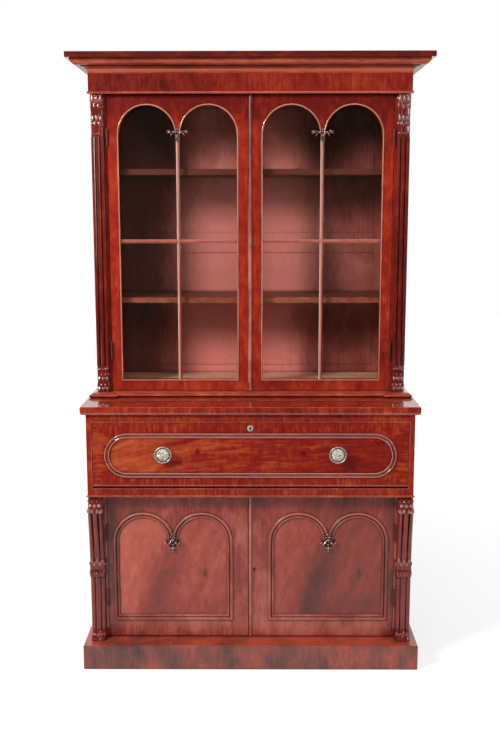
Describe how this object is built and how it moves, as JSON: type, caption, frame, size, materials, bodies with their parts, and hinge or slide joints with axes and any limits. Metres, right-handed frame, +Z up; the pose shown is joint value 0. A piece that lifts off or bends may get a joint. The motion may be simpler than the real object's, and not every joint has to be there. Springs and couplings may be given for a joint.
{
  "type": "secretaire bookcase",
  "caption": "Two-stage secretaire bookcase: glazed doors over a fall-front writing drawer with pigeonholes, above a cupboard with arched panel doors between reeded consoles.",
  "frame": {"origin": "centre of the bounding box on the floor, under the plinth", "axes": "+Z up, front towards -Y, +X to the right as seen from the front"},
  "size_m": [1.306, 0.55, 2.24],
  "materials": {
    "mahogany": "polished red-brown mahogany with a straight grain",
    "carved_mahogany": "polished mahogany, reeded and carved",
    "flame_veneer": "polished crotch-figured mahogany veneer",
    "inside_mahogany": "satin mahogany inside the case",
    "carcass_wood": "plain pale wood, unpolished",
    "fitment_wood": "satin pale mahogany",
    "brass": "aged brass",
    "knob_brass": "old embossed brass, darker in the recess",
    "glass": "clear old sheet glass",
    "leather": "dark green hide"
  },
  "bodies": {
    "cabinet": {"plinth": "mahogany", "lower_left_side": "mahogany", "lower_right_side": "mahogany", "cupboard_floor": "carcass_wood", "dustboard": "carcass_wood", "cupboard_shelf": "carcass_wood", "lower_back_boards": "carcass_wood", "face_stiles": "mahogany", "drawer_rails": "mahogany", "drawer_runners": "carcass_wood", "drawer_section_beads": "mahogany", "ledge": "mahogany", "consoles": "carved_mahogany", "bookcase_floor": "inside_mahogany", "bookcase_left_side": "mahogany", "bookcase_right_side": "mahogany", "bookcase_ceiling": "inside_mahogany", "bookcase_back_frame": "inside_mahogany", "bookcase_back_panels": "inside_mahogany", "bookcase_shelves": "inside_mahogany", "shelf_pegs": "brass", "reeded_columns": "carved_mahogany", "column_capitals": "carved_mahogany", "column_bases": "carved_mahogany", "waist_moulding": "mahogany", "frieze": "mahogany", "cornice": "mahogany", "cornice_cap": "mahogany", "cabinet_hinges": "brass"},
    "upper_left_door": {"upper_left_door_frame": "mahogany", "upper_left_door_glazing_bars": "mahogany", "upper_left_door_glass": "glass", "upper_left_door_hinges": "brass"},
    "upper_right_door": {"upper_right_door_frame": "mahogany", "upper_right_door_glazing_bars": "mahogany", "upper_right_door_glass": "glass", "upper_right_door_hinges": "brass", "upper_door_astragal": "mahogany"},
    "lower_left_door": {"lower_left_door_frame": "mahogany", "lower_left_door_panel": "flame_veneer", "lower_left_door_moulding": "carved_mahogany", "lower_left_door_hinges": "brass"},
    "lower_right_door": {"lower_right_door_frame": "mahogany", "lower_right_door_panel": "flame_veneer", "lower_right_door_moulding": "carved_mahogany", "lower_right_door_hinges": "brass", "lower_door_astragal": "mahogany"},
    "secretaire_drawer": {"secretaire_drawer_box": "carcass_wood", "pigeonhole_fitment": "fitment_wood", "fall_hinges": "brass"},
    "fall_front": {"fall_board": "flame_veneer", "fall_leather": "leather", "fall_moulding": "carved_mahogany", "fall_knobs": "knob_brass", "fall_brasswork": "brass"},
    "small_drawer_1": {"small_drawer_1": "fitment_wood"},
    "small_drawer_2": {"small_drawer_2": "fitment_wood"},
    "small_drawer_3": {"small_drawer_3": "fitment_wood"},
    "small_drawer_4": {"small_drawer_4": "fitment_wood"}
  },
  "joints": [
    {"name": "upper_left_door_hinge", "type": "hinge", "parent": "cabinet", "child": "upper_left_door", "pos_m": [-0.522, -0.0373, 1.558], "axis": [0, 0, -1], "range_deg": [0, 90]},
    {"name": "upper_right_door_hinge", "type": "hinge", "parent": "cabinet", "child": "upper_right_door", "pos_m": [0.522, -0.0373, 1.558], "axis": [0, 0, 1], "range_deg": [0, 90]},
    {"name": "lower_left_door_hinge", "type": "hinge", "parent": "cabinet", "child": "lower_left_door", "pos_m": [-0.535, -0.1853, 0.3755], "axis": [0, 0, -1], "range_deg": [0, 90]},
    {"name": "lower_right_door_hinge", "type": "hinge", "parent": "cabinet", "child": "lower_right_door", "pos_m": [0.535, -0.1853, 0.3755], "axis": [0, 0, 1], "range_deg": [0, 90]},
    {"name": "secretaire_drawer_slide", "type": "slide", "parent": "cabinet", "child": "secretaire_drawer", "axis": [0, -1, 0], "range_m": [0, 0.3]},
    {"name": "fall_front_hinge", "type": "hinge", "parent": "secretaire_drawer", "child": "fall_front", "pos_m": [0, -0.226, 0.7025], "axis": [1, 0, 0], "range_deg": [0, 90]},
    {"name": "small_drawer_1_slide", "type": "slide", "parent": "secretaire_drawer", "child": "small_drawer_1", "axis": [0, -1, 0], "range_m": [0, 0.15]},
    {"name": "small_drawer_2_slide", "type": "slide", "parent": "secretaire_drawer", "child": "small_drawer_2", "axis": [0, -1, 0], "range_m": [0, 0.15]},
    {"name": "small_drawer_3_slide", "type": "slide", "parent": "secretaire_drawer", "child": "small_drawer_3", "axis": [0, -1, 0], "range_m": [0, 0.15]},
    {"name": "small_drawer_4_slide", "type": "slide", "parent": "secretaire_drawer", "child": "small_drawer_4", "axis": [0, -1, 0], "range_m": [0, 0.15]}
  ]
}
